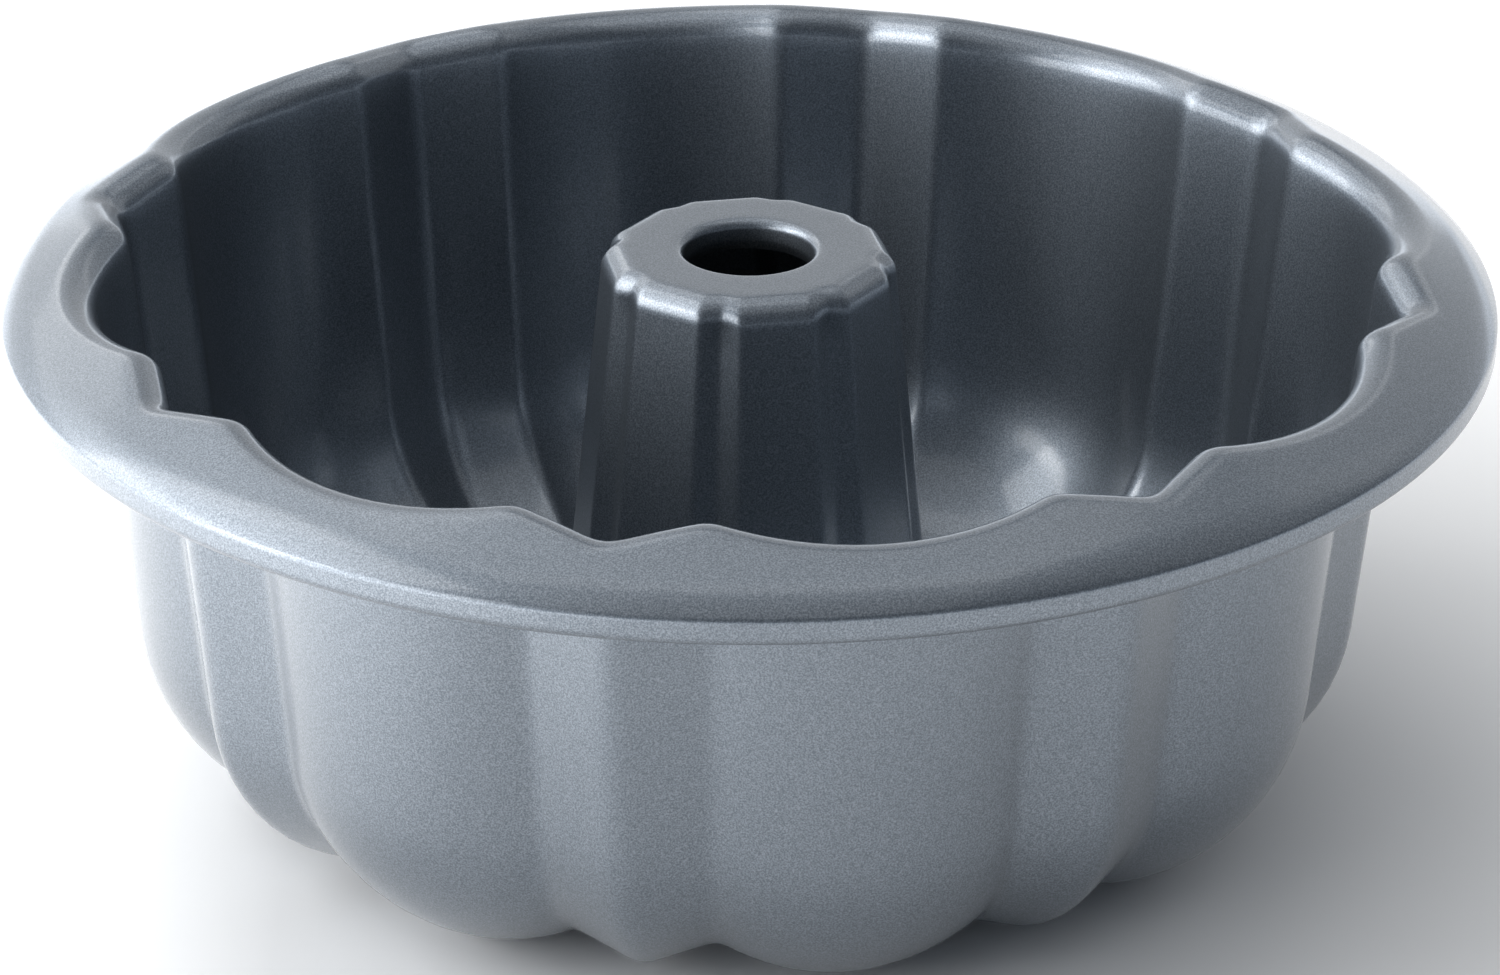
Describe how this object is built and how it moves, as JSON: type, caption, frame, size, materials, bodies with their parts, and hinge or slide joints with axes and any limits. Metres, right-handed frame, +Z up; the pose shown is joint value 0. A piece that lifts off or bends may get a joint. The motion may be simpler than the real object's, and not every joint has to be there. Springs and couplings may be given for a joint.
{
  "type": "bundt pan",
  "caption": "Round fluted ring-cake pan with a hollow centre tube, alternating broad and narrow lobes, and a sloping flange ending in a rolled rim.",
  "frame": {"origin": "on the pan's axis, at the level it stands on", "axes": "+Z up along the axis, out of the open mouth; the middle of a broad lobe faces -Y"},
  "size_m": [0.26, 0.26, 0.1009],
  "materials": {
    "nonstick_coating": "satin",
    "wire_steel": "satin"
  },
  "bodies": {
    "root": {"pan_body": "nonstick_coating", "centre_tube": "nonstick_coating", "rim_wire": "wire_steel"}
  },
  "joints": []
}
